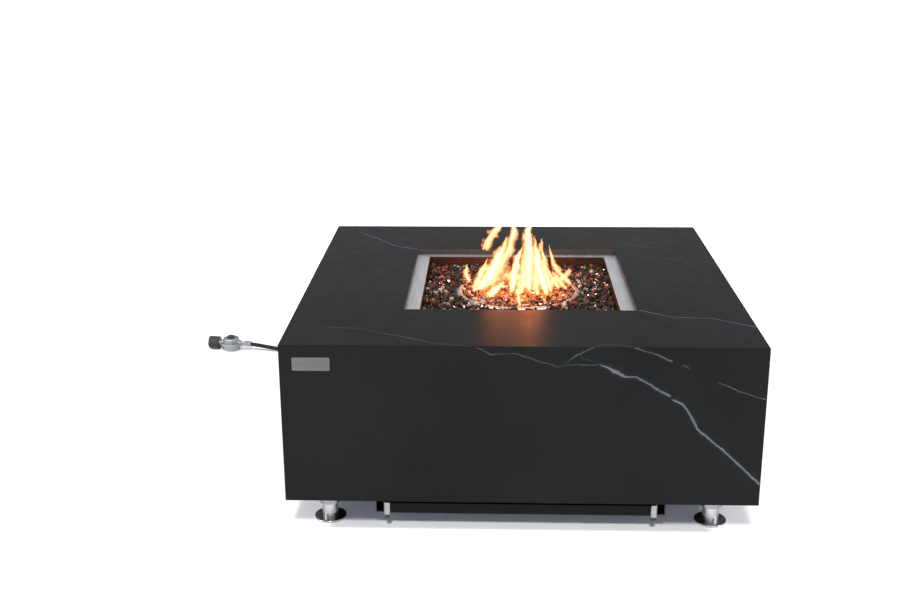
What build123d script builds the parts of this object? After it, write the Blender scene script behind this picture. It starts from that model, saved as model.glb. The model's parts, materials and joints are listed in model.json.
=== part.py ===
from build123d import *

import math
import os

# Square gas fire-pit table. Millimetres, +Z up, origin on the floor under the table's centre.
# The front panel faces -Y. The control plate is on the left side, -X, and the gas hose leaves at the rear.

# Driving dimensions
WIDTH = 1070.0          # porcelain body, square
BODY_HEIGHT = 376.0     # top face down to the panels' lower edges
LEG_HEIGHT = 85.0       # floor up to the panels' lower edges
STONE = 12.0            # porcelain thickness
CUTOUT = 553.0          # square opening in the top slab
FLANGE_DROP = 15.0      # top face down to the burner pan's flange
PAN_OPENING = 485.0     # inside of the burner pan's walls
PAN_DEPTH = 75.0        # flange down to the pan's floor
SHEET = 1.5             # pan, tray and lid sheet
RAIL = 40.0             # frame tube, wide side
RAIL_H = 25.0           # frame tube, narrow side
TUBE_WALL = 2.0
FOOT_INSET = 89.0       # side face to a foot's axis
RING_RADIUS = 152.5     # burner ring, to the middle of its tube
RING_TUBE = 8.0         # burner ring tube radius
RING_DROP = 43.0        # top face down to the middle of the ring's tube
GLASS_DROP = 42.0       # top face down to the fire glass
HOSE = 13.0             # gas hose diameter
FIT = 0.05              # radial clearance of a part that turns or slides in another
GAP = 0.4               # clearance between the loose fire glass and what stands in it

# Levels and half widths worked out from them
HALF = WIDTH / 2
INNER = HALF - STONE
TOP = LEG_HEIGHT + BODY_HEIGHT
SLAB_UNDER = TOP - STONE
FLANGE_TOP = TOP - FLANGE_DROP
PAN_FLOOR = FLANGE_TOP - PAN_DEPTH
RING_Z = TOP - RING_DROP
GLASS_TOP = TOP - GLASS_DROP
RAIL_INNER = INNER - RAIL
PLATE_TOP = LEG_HEIGHT + 5.0
LOW_RAIL_TOP = PLATE_TOP + RAIL_H
HIGH_RAIL_UNDER = SLAB_UNDER - RAIL_H
COLLAR = 290.0          # inner faces of the rails round the burner
FOOT = HALF - FOOT_INSET
CORNERS = {"front_left": (-1, -1), "front_right": (1, -1), "rear_left": (-1, 1), "rear_right": (1, 1)}


# Helpers

def block(x_span, y_span, z_span):
    """A box between two limits along each axis."""
    spans = (x_span, y_span, z_span)
    sizes = [high - low for low, high in spans]
    middle = [(high + low) / 2 for low, high in spans]
    return Pos(*middle) * Box(*sizes)


def both(limit):
    """The span from -limit to +limit."""
    return (-limit, limit)


def rod(start, end, radius):
    """A solid cylinder from one point to another."""
    line = Vector(*end) - Vector(*start)
    return Solid.make_cylinder(radius, line.length, Plane(origin=start, z_dir=line))


def pipe(start, end, radius, bore):
    """A cylinder with a hole right through it."""
    return rod(start, end, radius) - rod(start, end, bore)


def box_tube(x_span, y_span, z_span, along):
    """Rectangular steel tube, open at its two ends along X, Y or Z."""
    spans = {"x": x_span, "y": y_span, "z": z_span}
    inside = {}
    for name, (low, high) in spans.items():
        wall = -1.0 if name == along else TUBE_WALL
        inside[name] = (low + wall, high - wall)
    return block(x_span, y_span, z_span) - block(inside["x"], inside["y"], inside["z"])


def hexagon(start, end, across_flats):
    """A hexagonal prism from one point to another."""
    line = Vector(*end) - Vector(*start)
    face = Plane(origin=start, z_dir=line) * RegularPolygon(across_flats / 2, 6, major_radius=False)
    return extrude(face, line.length)


def mitred_side(profile):
    """The front one of four mitred strips: a (y, z) profile run along X and cut on the two diagonals."""
    strip = extrude(Plane.YZ * make_face(Polyline(*profile, close=True)), WIDTH, both=True)
    quarter = make_face(Polyline((0, 0), (-WIDTH, -WIDTH), (WIDTH, -WIDTH), close=True))
    return strip & extrude(quarter, 2 * TOP)


def turned(shape, quarter_turns):
    """The shape turned about the vertical axis."""
    return Rot(0, 0, 90 * quarter_turns) * shape


def all_round(shape):
    """Four copies of a shape, one on each side of the table."""
    return [turned(shape, quarter) for quarter in range(4)]


def left_and_right(shape):
    """A right-hand shape and its mirror image."""
    return [shape, mirror(shape, about=Plane.YZ)]


def bent_path(points, radii):
    """Straight runs joined by tangent arcs."""
    return FilletPolyline(*points, radius=radii)


def cord_radii(points):
    """The largest arcs that the runs of a cord's route allow."""
    radii = []
    for before, here, after in zip(points, points[1:], points[2:]):
        first = Vector(*here) - Vector(*before)
        second = Vector(*after) - Vector(*here)
        half_turn = math.radians(first.get_angle(second) / 2)
        radii.append(0.45 * min(first.length, second.length) / math.tan(half_turn))
    return radii


def round_tube(points, radii, radius):
    """A round solid that follows the path."""
    path = bent_path(points, radii)
    section = Plane(origin=path @ 0, z_dir=path % 0) * Circle(radius)
    return sweep(section, path)


def save(name, shapes):
    """Write one node, as its separate solids."""
    solids = [solid for shape in shapes for solid in shape.solids()]
    export_step(Compound(solids), f"parts/{name}.step")


# Porcelain

def top_slab():
    outer = extrude(Pos(0, 0, TOP) * Rectangle(WIDTH, WIDTH), -STONE, taper=45)
    hole = extrude(Pos(0, 0, TOP) * Rectangle(CUTOUT, CUTOUT), -STONE, taper=-45)
    return outer - hole


def side_panel():
    profile = [(-HALF, LEG_HEIGHT), (-INNER, LEG_HEIGHT), (-INNER, SLAB_UNDER), (-HALF, TOP)]
    return mitred_side(profile)


def cutout_edge():
    near = -CUTOUT / 2
    far = near - STONE
    return mitred_side([(near, TOP), (far, SLAB_UNDER), (far, FLANGE_TOP), (near, FLANGE_TOP)])


# Steel frame

def low_rails():
    z_span = (PLATE_TOP, LOW_RAIL_TOP)
    front = box_tube(both(INNER), (-INNER, -RAIL_INNER), z_span, "x")
    side = box_tube((RAIL_INNER, INNER), both(RAIL_INNER), z_span, "y")
    return [front, turned(front, 2), side, turned(side, 2)]


def high_rails():
    z_span = (HIGH_RAIL_UNDER, SLAB_UNDER)
    front = box_tube(both(INNER), (-INNER, -RAIL_INNER), z_span, "x")
    side = box_tube((RAIL_INNER, INNER), both(RAIL_INNER), z_span, "y")
    return [front, turned(front, 2), side, turned(side, 2)]


def burner_rails():
    z_span = (HIGH_RAIL_UNDER, SLAB_UNDER)
    side = box_tube((COLLAR, COLLAR + RAIL), both(RAIL_INNER), z_span, "y")
    cross = box_tube(both(COLLAR), (COLLAR, COLLAR + RAIL), z_span, "x")
    return [side, turned(side, 2), cross, turned(cross, 2)]


def corner_post(x_side, y_side):
    span = (RAIL_INNER, INNER)
    post = box_tube(span, span, (LOW_RAIL_TOP, HIGH_RAIL_UNDER), "z")
    return Pos((x_side - 1) * (INNER + RAIL_INNER) / 2, (y_side - 1) * (INNER + RAIL_INNER) / 2, 0) * post


def foot_plate(x_side, y_side):
    size = 140.0
    plate = block((INNER - size, INNER), (INNER - size, INNER), (LEG_HEIGHT, PLATE_TOP))
    plate -= rod((FOOT, FOOT, LEG_HEIGHT), (FOOT, FOOT, PLATE_TOP), BOLT_RADIUS)
    quarter = {(1, 1): 0, (-1, 1): 1, (-1, -1): 2, (1, -1): 3}[(x_side, y_side)]
    return turned(plate, quarter)


def pan_ledge():
    top = FLANGE_TOP - SHEET
    thick = 3.0
    reach = PAN_OPENING / 2 + 4.5
    drop = 22.5
    return mitred_side([(-COLLAR, top), (-reach, top), (-reach, top - thick), (thick - COLLAR, top - thick),
                        (thick - COLLAR, top - thick - drop), (-COLLAR, top - thick - drop)])


# Feet

BOLT_RADIUS = 5.0
SLEEVE_UNDER = LEG_HEIGHT - 43.0
SLEEVE_ROOF = LEG_HEIGHT - 5.0


def foot_sleeve(x, y):
    sleeve = rod((x, y, SLEEVE_UNDER), (x, y, LEG_HEIGHT), 26.0)
    sleeve -= rod((x, y, SLEEVE_UNDER), (x, y, SLEEVE_ROOF), 19.0 + FIT)
    return sleeve - rod((x, y, SLEEVE_ROOF), (x, y, LEG_HEIGHT), BOLT_RADIUS)


def foot_bolt(x, y):
    head = hexagon((x, y, PLATE_TOP), (x, y, PLATE_TOP + 6.4), 17.0)
    return head + rod((x, y, SLEEVE_ROOF), (x, y, PLATE_TOP), BOLT_RADIUS)


def foot_base(x, y):
    """Screwed stem on a wide disc, turned to level the table."""
    disc = rod((x, y, 0), (x, y, 5.5), 37.5)
    disc = fillet(disc.edges().filter_by(GeomType.CIRCLE), 1.2)
    return disc + rod((x, y, 4.0), (x, y, SLEEVE_ROOF - 3.0), 19.0)


# Burner

PILOT_X = -100.0        # pilot bracket, inside the burner ring
PILOT_SPREAD = 6.0      # spark electrode and thermocouple, each side of the bracket's middle
HUB_RADIUS = 20.0
HUB_TOP = RING_Z + 1.0
HUB_UNDER = HUB_TOP - 18.0
NECK_RADIUS = 10.5
NECK_END = PAN_FLOOR - 41.0
SHIELD_TOP = PAN_FLOOR - 26.0


def burner_pan():
    outer = PAN_OPENING / 2 + SHEET
    rim = CUTOUT / 2 + 10.5
    pan = block(both(outer), both(outer), (PAN_FLOOR - SHEET, FLANGE_TOP))
    pan += block(both(rim), both(rim), (FLANGE_TOP - SHEET, FLANGE_TOP))
    pan -= block(both(outer - SHEET), both(outer - SHEET), (PAN_FLOOR, FLANGE_TOP + 1))
    pan -= rod((0, 0, PAN_FLOOR - 2 * SHEET), (0, 0, PAN_FLOOR + 1), NECK_RADIUS)
    return pan - rod((PILOT_X, 0, PAN_FLOOR - 2 * SHEET), (PILOT_X, 0, PAN_FLOOR + 1), 12.0)


def burner_ring(grow=0.0):
    return Pos(0, 0, RING_Z) * Torus(RING_RADIUS, RING_TUBE + grow)


def burner_hub(grow=0.0):
    hub = rod((0, 0, HUB_UNDER - grow), (0, 0, HUB_TOP + grow), HUB_RADIUS + grow)
    return hub + rod((0, 0, NECK_END), (0, 0, HUB_UNDER), NECK_RADIUS + grow)


def burner_spoke(radius):
    z = HUB_UNDER + 7.0
    spoke = rod((-RING_RADIUS, 0, z), (0, 0, z), radius)
    return spoke - burner_ring() - burner_hub()


def spokes(radius=5.0):
    """Three feed tubes; the fourth quarter is left free for the pilot."""
    return [turned(burner_spoke(radius), quarter) for quarter in (1, 2, 3)]


def pilot_bracket():
    plate = block((PILOT_X - 17, PILOT_X + 17), both(16), (PAN_FLOOR, PAN_FLOOR + 2))
    plate += block((PILOT_X + 15, PILOT_X + 17), both(16), (PAN_FLOOR + 2, PAN_FLOOR + 38))
    for y in (-PILOT_SPREAD, PILOT_SPREAD):
        plate -= rod((PILOT_X, y, PAN_FLOOR), (PILOT_X, y, PAN_FLOOR + 2), 3.0)
    return plate


def spark_electrode():
    foot = (PILOT_X, PILOT_SPREAD, PAN_FLOOR - 6)
    shoulder = (PILOT_X, PILOT_SPREAD, PAN_FLOOR + 40)
    tip = (PILOT_X, PILOT_SPREAD, PAN_FLOOR + 47)
    return rod(foot, shoulder, 3.0) + rod(shoulder, tip, 1.2)


def thermocouple():
    return rod((PILOT_X, -PILOT_SPREAD, PAN_FLOOR - 6), (PILOT_X, -PILOT_SPREAD, PAN_FLOOR + 44), 3.0)


def fire_glass():
    """The loose bed of glass as one closed solid."""
    side = PAN_OPENING / 2 - GAP
    bed = block(both(side), both(side), (PAN_FLOOR + GAP, GLASS_TOP))
    bed -= burner_ring(GAP)
    bed -= burner_hub(GAP)
    for spoke in spokes(5.0 + GAP):
        bed -= spoke
    return bed - block((PILOT_X - 18, PILOT_X + 18), both(17), (PAN_FLOOR, GLASS_TOP))


def hub_nut():
    nut = hexagon((0, 0, PAN_FLOOR - SHEET - 9), (0, 0, PAN_FLOOR - SHEET), 32.0)
    return nut - rod((0, 0, PAN_FLOOR - 12), (0, 0, PAN_FLOOR), NECK_RADIUS)


def heat_shield():
    shield = block(both(255), both(255), (SHIELD_TOP - 1, SHIELD_TOP))
    shield -= rod((0, 0, SHIELD_TOP - 2), (0, 0, SHIELD_TOP + 1), 18.0)
    return shield - rod((PILOT_X, 0, SHIELD_TOP - 2), (PILOT_X, 0, SHIELD_TOP + 1), 14.0)


def shield_spacer():
    return pipe((150, 150, SHIELD_TOP), (150, 150, PAN_FLOOR - SHEET), 6.0, 3.0)


def air_mixer():
    """Open tube under the burner's neck, with two cross holes that draw air in."""
    low = NECK_END - 48
    mixer = rod((0, 0, low), (0, 0, NECK_END), 14.0) - rod((0, 0, low + 4), (0, 0, NECK_END), 9.0)
    mixer -= rod((-15, 0, low + 20), (15, 0, low + 20), 4.5)
    return mixer - rod((0, -15, low + 20), (0, 15, low + 20), 4.5)


JET_Z = NECK_END - 48 - 13


def jet_elbow():
    return block(both(13), both(13), (JET_Z - 13, JET_Z + 13)) + rod((-13, 0, JET_Z), (-30, 0, JET_Z), 9.0)


# Controls on the left side, in a shallow dish set into the panel

CONTROL_Y = 150.0
CONTROL_Z = 290.0
DISH = (82.0, 46.0)     # half width and half height of the dish
RIM = 12.0              # width of the dish's outer rim
FACE = -INNER - SHEET   # outer face of the dish's floor
KNOB_Y = CONTROL_Y + 38.0
BUTTON_Y = CONTROL_Y - 40.0
STEM_RADIUS = 4.0
BUTTON_RADIUS = 9.0
VALVE_X = -490.0
VALVE_OUTLET = VALVE_X + 42.0


def dish_block(x_span, grow):
    across, up = DISH[0] + grow, DISH[1] + grow
    return block(x_span, (CONTROL_Y - across, CONTROL_Y + across), (CONTROL_Z - up, CONTROL_Z + up))


def screw_places():
    across, up = DISH[0] + RIM / 2, DISH[1] + RIM / 2
    sides = [(y_side, z_side) for y_side in (-1, 1) for z_side in (-1, 1)]
    return [(CONTROL_Y + across * y_side, CONTROL_Z + up * z_side) for y_side, z_side in sides]


def plate_screw(y, z):
    outside = -HALF - SHEET
    head = rod((outside, y, z), (outside - 1.6, y, z), 3.4)
    head = fillet(head.edges().sort_by(Axis.X)[0], 1.0)
    head -= block((outside - 2, outside - 0.8), (y - 2.6, y + 2.6), (z - 0.4, z + 0.4))
    return head + rod((outside, y, z), (-INNER, y, z), 1.8)


def control_dish():
    """Folded dish with a thin rim on the panel's face and a floor 10 mm deeper."""
    rim = fillet(dish_block((-HALF - SHEET, -HALF), RIM).edges().filter_by(Axis.X), 6.0)
    dish = rim + dish_block((-HALF, -INNER), 0.0)
    dish -= dish_block((-HALF - 2 * SHEET, FACE), -SHEET)
    dish -= rod((FACE - 1, KNOB_Y, CONTROL_Z), (-INNER + 1, KNOB_Y, CONTROL_Z), STEM_RADIUS + 1)
    dish -= rod((FACE - 1, BUTTON_Y, CONTROL_Z), (-INNER + 1, BUTTON_Y, CONTROL_Z), 11.0)
    for y, z in screw_places():
        dish -= rod((-HALF - 2, y, z), (-INNER + 1, y, z), 1.8)
    return dish


def left_panel():
    panel = turned(side_panel(), 3) - dish_block((-HALF - 1, -INNER + 1), 0.0)
    for y, z in screw_places():
        panel -= rod((-HALF - 1, y, z), (-INNER + 1, y, z), 1.8)
    return panel


def gas_valve():
    body = block((VALVE_X - 22, VALVE_X + 24), (KNOB_Y - 20, KNOB_Y + 20), (CONTROL_Z - 18, CONTROL_Z + 18))
    body += rod((-INNER, KNOB_Y, CONTROL_Z), (VALVE_X - 22, KNOB_Y, CONTROL_Z), 13.0)
    body += rod((VALVE_X, KNOB_Y + 20, CONTROL_Z), (VALVE_X, KNOB_Y + 40, CONTROL_Z), 9.0)
    body += rod((VALVE_X + 24, KNOB_Y, CONTROL_Z), (VALVE_OUTLET, KNOB_Y, CONTROL_Z), 9.0)
    return body - rod((-INNER, KNOB_Y, CONTROL_Z), (VALVE_X - 5, KNOB_Y, CONTROL_Z), STEM_RADIUS + FIT)


def valve_stem():
    return rod((FACE - 17, KNOB_Y, CONTROL_Z), (VALVE_X - 10, KNOB_Y, CONTROL_Z), STEM_RADIUS)


def control_knob():
    """Round skirt with a raised grip bar, 4 mm off the dish's floor so that it can be pushed in."""
    near = FACE - 4
    skirt = rod((near, KNOB_Y, CONTROL_Z), (near - 7, KNOB_Y, CONTROL_Z), 21.0)
    skirt = fillet(skirt.edges().sort_by(Axis.X)[0], 2.0)
    bar = block((near - 19, near - 6), (KNOB_Y - 5, KNOB_Y + 5), (CONTROL_Z - 18, CONTROL_Z + 18))
    knob = skirt + fillet(bar.edges().filter_by(Axis.Y), 3.0)
    return knob - rod((near, KNOB_Y, CONTROL_Z), (near - 14, KNOB_Y, CONTROL_Z), STEM_RADIUS + FIT)


def knob_pointer():
    near = FACE - 23
    return block((near - 0.6, near), (KNOB_Y - 1, KNOB_Y + 1), (CONTROL_Z + 3, CONTROL_Z + 14))


def igniter_housing():
    body = rod((FACE, BUTTON_Y, CONTROL_Z), (FACE - 5, BUTTON_Y, CONTROL_Z), 16.0)
    body = fillet(body.edges().sort_by(Axis.X)[0], 1.5)
    body += rod((FACE, BUTTON_Y, CONTROL_Z), (FACE + 58, BUTTON_Y, CONTROL_Z), 11.0)
    return body - rod((FACE - 6, BUTTON_Y, CONTROL_Z), (FACE + 19, BUTTON_Y, CONTROL_Z), BUTTON_RADIUS + FIT)


def igniter_button():
    button = rod((FACE + 12, BUTTON_Y, CONTROL_Z), (FACE - 11, BUTTON_Y, CONTROL_Z), BUTTON_RADIUS)
    return fillet(button.edges().sort_by(Axis.X)[0], 1.5)


def igniter_lead():
    end = (PILOT_X, PILOT_SPREAD, PAN_FLOOR - 6)
    points = [(FACE + 58, BUTTON_Y, CONTROL_Z), (-430, BUTTON_Y, CONTROL_Z), (-300, 95, 302), (-170, 45, 312),
              (PILOT_X, PILOT_SPREAD, 318), end]
    return round_tube(points, 20.0, 1.5)


def thermocouple_lead():
    start = (PILOT_X, -PILOT_SPREAD, PAN_FLOOR - 6)
    points = [start, (PILOT_X, -PILOT_SPREAD, 308), (-200, 60, 296), (-400, KNOB_Y - 10, 300),
              (VALVE_X + 24, KNOB_Y - 10, 300)]
    return round_tube(points, 20.0, 1.0)


def burner_pipe():
    """Flexible pipe from the valve to the jet."""
    points = [(VALVE_OUTLET, KNOB_Y, CONTROL_Z), (-400, KNOB_Y, CONTROL_Z), (-310, 120, 270),
              (-180, 30, JET_Z), (-90, 0, JET_Z), (-30, 0, JET_Z)]
    return round_tube(points, 35.0, 7.0)


# Gas inlet at the rear

INLET_X = -40.0
INLET_Z = 138.0
INLET_END = HALF + 40.0
INLET_INSIDE = INNER - 23.0


def rear_panel():
    hole = rod((INLET_X, INNER - 1, INLET_Z), (INLET_X, HALF + 1, INLET_Z), 10.0)
    return turned(side_panel(), 2) - hole


def bulkhead():
    """Threaded fitting through the rear panel, with a hexagon outside and a crimped hose tail."""
    body = hexagon((INLET_X, HALF, INLET_Z), (INLET_X, HALF + 8, INLET_Z), 30.0)
    body += rod((INLET_X, HALF + 8, INLET_Z), (INLET_X, INLET_END, INLET_Z), 9.5)
    body += rod((INLET_X, INNER - 14, INLET_Z), (INLET_X, HALF, INLET_Z), 10.0)
    return body + rod((INLET_X, INLET_INSIDE, INLET_Z), (INLET_X, INNER - 14, INLET_Z), 8.0)


def bulkhead_nut():
    nut = hexagon((INLET_X, INNER - 8, INLET_Z), (INLET_X, INNER, INLET_Z), 30.0)
    return nut - rod((INLET_X, INNER - 9, INLET_Z), (INLET_X, INNER + 1, INLET_Z), 10.0)


def inlet_pipe():
    points = [(INLET_X, INLET_INSIDE, INLET_Z), (INLET_X, 430, INLET_Z), (VALVE_X, 430, INLET_Z),
              (VALVE_X, 430, CONTROL_Z), (VALVE_X, KNOB_Y + 40, CONTROL_Z)]
    return round_tube(points, 30.0, 5.0)


# Gas hose, lying on the floor behind the table

FLOOR_LINE = HOSE / 2
COIL_X, COIL_Y = -290.0, 770.0
OUTER_TURN, INNER_TURN = 81.5, 68.5
COIL_LAYERS = 2
EXIT_ANGLE = 110.0
REGULATOR_Z = 22.0
HEADING = 173.0         # direction in which the regulator end points

HOSE_LEAD = [(INLET_X, INLET_END, INLET_Z), (-40, 628, 136), (-46, 696, 110), (-63, 757, 59), (-97, 811, 19),
             (-152, 844, FLOOR_LINE), (-222, 853, FLOOR_LINE), (COIL_X, COIL_Y + OUTER_TURN, FLOOR_LINE)]
COIL_EXIT = (COIL_X + OUTER_TURN * math.cos(math.radians(EXIT_ANGLE)),
             COIL_Y + OUTER_TURN * math.sin(math.radians(EXIT_ANGLE)), 1.5 * HOSE)
HOSE_TAIL = [COIL_EXIT, (-375, 827, 17), (-433, 802, 10), (-492, 769, 7), (-553, 734, 6.6), (-619, 704, 6.6),
             (-690, 685, 6.6), (-757, 680, 8), (-812, 686, 16), (-858, 692, 21.5)]


def hose_coil():
    high = COIL_LAYERS * HOSE
    coil = rod((COIL_X, COIL_Y, 0), (COIL_X, COIL_Y, high), OUTER_TURN + HOSE / 2)
    coil -= rod((COIL_X, COIL_Y, 0), (COIL_X, COIL_Y, high), INNER_TURN - HOSE / 2)
    return fillet(coil.edges().filter_by(GeomType.CIRCLE), 5.0)


def hose_tie():
    """Strap round the turns of the coil."""
    thick = 1.6
    span = (INNER_TURN - HOSE / 2 - thick, OUTER_TURN + HOSE / 2 + thick)
    band = block(span, both(9), (0, COIL_LAYERS * HOSE + thick))
    band -= block((span[0] + thick, span[1] - thick), both(10), (0, COIL_LAYERS * HOSE))
    return Pos(COIL_X, COIL_Y, 0) * Rot(0, 0, -60) * band


AHEAD = (math.cos(math.radians(HEADING)), math.sin(math.radians(HEADING)), 0)
REGULATOR = Plane(origin=(HOSE_TAIL[-1][0], HOSE_TAIL[-1][1], REGULATOR_Z), x_dir=AHEAD, z_dir=(0, 0, 1))
BODY_X = 68.0           # hose end to the regulator's vertical axis
NUT_X = 107.0           # hose end to the hand wheel's near face
NUT_LENGTH = 34.0


def along_hose(shape):
    """Place a shape made along X at the hose's end."""
    return REGULATOR.location * shape


def hose_crimp():
    crimp = rod((0, 0, 0), (22, 0, 0), 9.0) + rod((22, 0, 0), (34, 0, 0), 6.5)
    return along_hose(crimp)


def regulator_body():
    bowl = rod((BODY_X, 0, -REGULATOR_Z), (BODY_X, 0, -4), 27.0)
    bowl = fillet(bowl.edges().sort_by(Axis.Z)[0], 6.0)
    flange = fillet(rod((BODY_X, 0, -4), (BODY_X, 0, 4), 34.0).edges(), 1.5)
    bonnet = rod((BODY_X, 0, 4), (BODY_X, 0, 19), 26.0)
    bonnet = fillet(bonnet.edges().sort_by(Axis.Z)[-1], 4.0)
    body = bowl + flange + bonnet
    body += rod((34, 0, 0), (BODY_X, 0, 0), 10.0)
    body += rod((BODY_X, 0, 0), (NUT_X + 9.5, 0, 0), 10.0)
    return along_hose(body)


def regulator_cap():
    """Vent and adjuster cap on the bonnet."""
    cap = rod((BODY_X, 0, 19), (BODY_X, 0, 26), 11.0)
    return along_hose(fillet(cap.edges().sort_by(Axis.Z)[-1], 2.0))


def hand_wheel():
    """Threaded nut with finger grips, turned by hand onto the gas bottle."""
    start, end = (NUT_X, 0, 0), (NUT_X + NUT_LENGTH, 0, 0)
    wheel = rod(start, end, 20.5)
    for step in range(8):
        angle = math.radians(45 * step + 22.5)
        y, z = 24.5 * math.cos(angle), 24.5 * math.sin(angle)
        wheel -= rod((NUT_X - 1, y, z), (NUT_X + NUT_LENGTH + 1, y, z), 6.0)
    wheel -= rod((NUT_X - 1, 0, 0), end, 10.0 + FIT)
    return along_hose(wheel - rod((NUT_X + 10, 0, 0), end, 16.65))


# Tray on telescopic runners, under the front edge

TRAY_HALF = 300.0
TRAY_Y = (-500.0, 65.0)
TRAY_Z = (38.5, 63.0)
RUNNER_Y = (-499.0, 50.0)
RUNNER_Z = 50.0
RUNNER_SHEET = 1.2
RUNNER_WIDTH = 12.7
CROSS_RAIL_Y = (95.0, 135.0)


def channel(x_open, x_web, half_height, y_span):
    """A channel rail on the right-hand side, open towards x_open, with its web at x_web."""
    low, high = sorted((x_open, x_web))
    rail = block((low, high), y_span, (RUNNER_Z - half_height, RUNNER_Z + half_height))
    inside = half_height - RUNNER_SHEET
    if x_web > x_open:
        hollow = (low - 1, high - RUNNER_SHEET)
    else:
        hollow = (low + RUNNER_SHEET, high + 1)
    return rail - block(hollow, (y_span[0] - 1, y_span[1] + 1), (RUNNER_Z - inside, RUNNER_Z + inside))


def outer_runner():
    return channel(TRAY_HALF + 3.0, TRAY_HALF + RUNNER_WIDTH, 15.0, RUNNER_Y)


def middle_runner():
    return channel(TRAY_HALF + 4.2, TRAY_HALF + 10.8, 13.0, RUNNER_Y)


def inner_runner():
    """Inner rail with the bright end tab that shows at the front."""
    rail = channel(TRAY_HALF + 8.0, TRAY_HALF, 10.5, (-501.5, RUNNER_Y[1]))
    tab = block((TRAY_HALF + 0.4, TRAY_HALF + 12.3), (-503.0, -501.5), (RUNNER_Z - 15, RUNNER_Z + 15))
    return rail + tab


def tray_stop():
    """Black bumper under a runner's end tab."""
    return block((TRAY_HALF + 0.8, TRAY_HALF + 11.9), (-503.0, -494.0), (27.0, RUNNER_Z - 15))


def tray_rail():
    x_span = (TRAY_HALF + RUNNER_WIDTH, TRAY_HALF + RUNNER_WIDTH + 20)
    tube = box_tube(x_span, (-500.0, CROSS_RAIL_Y[1]), (40.0, PLATE_TOP), "y")
    for y in BOLT_ROWS:
        tube -= rod((TRAY_BOLT_X, y, PLATE_TOP - 4), (TRAY_BOLT_X, y, PLATE_TOP + 1), 3.0)
    return tube


def tray_cross_rail():
    return box_tube(both(RAIL_INNER), CROSS_RAIL_Y, (PLATE_TOP, LOW_RAIL_TOP), "x")


TRAY_BOLT_X = TRAY_HALF + RUNNER_WIDTH + 10
BOLT_ROWS = (-491.5, sum(CROSS_RAIL_Y) / 2)


def tray_bolt(y):
    """Bolt through a rail's whole height that holds a tray rail up, head on top."""
    head = hexagon((TRAY_BOLT_X, y, LOW_RAIL_TOP), (TRAY_BOLT_X, y, LOW_RAIL_TOP + 4), 10.0)
    return head + rod((TRAY_BOLT_X, y, PLATE_TOP - 4), (TRAY_BOLT_X, y, LOW_RAIL_TOP), 3.0)


def drilled(rails):
    """Rails with the holes of the tray's bolts."""
    holes = [rod((side * TRAY_BOLT_X, y, PLATE_TOP - 1), (side * TRAY_BOLT_X, y, LOW_RAIL_TOP + 1), 3.0)
             for side in (-1, 1) for y in BOLT_ROWS]
    for hole in holes:
        rails = [rail - hole for rail in rails]
    return rails


def tray():
    low, high = TRAY_Z
    sheet = block(both(TRAY_HALF), TRAY_Y, TRAY_Z)
    inside = (TRAY_Y[0] + SHEET, TRAY_Y[1] - SHEET)
    sheet -= block(both(TRAY_HALF - SHEET), inside, (low + SHEET, high + 1))
    return sheet + block(both(TRAY_HALF), (TRAY_Y[0], TRAY_Y[0] + 9), (high - SHEET, high))


LID_HALF = 272.0
LID_Y = sum(TRAY_Y) / 2
LID_UNDER = TRAY_Z[0] + SHEET
LID_TOP = LID_UNDER + 16.0
LID_SHEET = 2.0


def burner_lid():
    """Folded steel cover for the burner opening."""
    span = (LID_Y - LID_HALF, LID_Y + LID_HALF)
    lid = block(both(LID_HALF), span, (LID_UNDER, LID_TOP))
    lid = fillet(lid.edges().group_by(Axis.Z)[-1], 1.5)
    hollow = LID_HALF - LID_SHEET
    return lid - block(both(hollow), (LID_Y - hollow, LID_Y + hollow), (LID_UNDER - 1, LID_TOP - LID_SHEET))


def lid_handle():
    """Low bar handle on the middle of the lid."""
    bar = round_tube([(-60, LID_Y, LID_TOP), (-60, LID_Y, LID_TOP + 18), (60, LID_Y, LID_TOP + 18),
                      (60, LID_Y, LID_TOP)], 9.0, 4.0)
    return bar


# Blank plate on the front

def name_plate():
    plate = block((-506, -422), (-HALF - 1.5, -HALF), (TOP - 59.5, TOP - 28.5))
    return fillet(plate.edges().filter_by(Axis.Y), 1.5)


# Write every node

os.makedirs("parts", exist_ok=True)

foot_bolts = [foot_bolt(x * FOOT, y * FOOT) for x, y in CORNERS.values()]
tray_bolts = [bolt for y in BOLT_ROWS for bolt in left_and_right(tray_bolt(y))]

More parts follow.
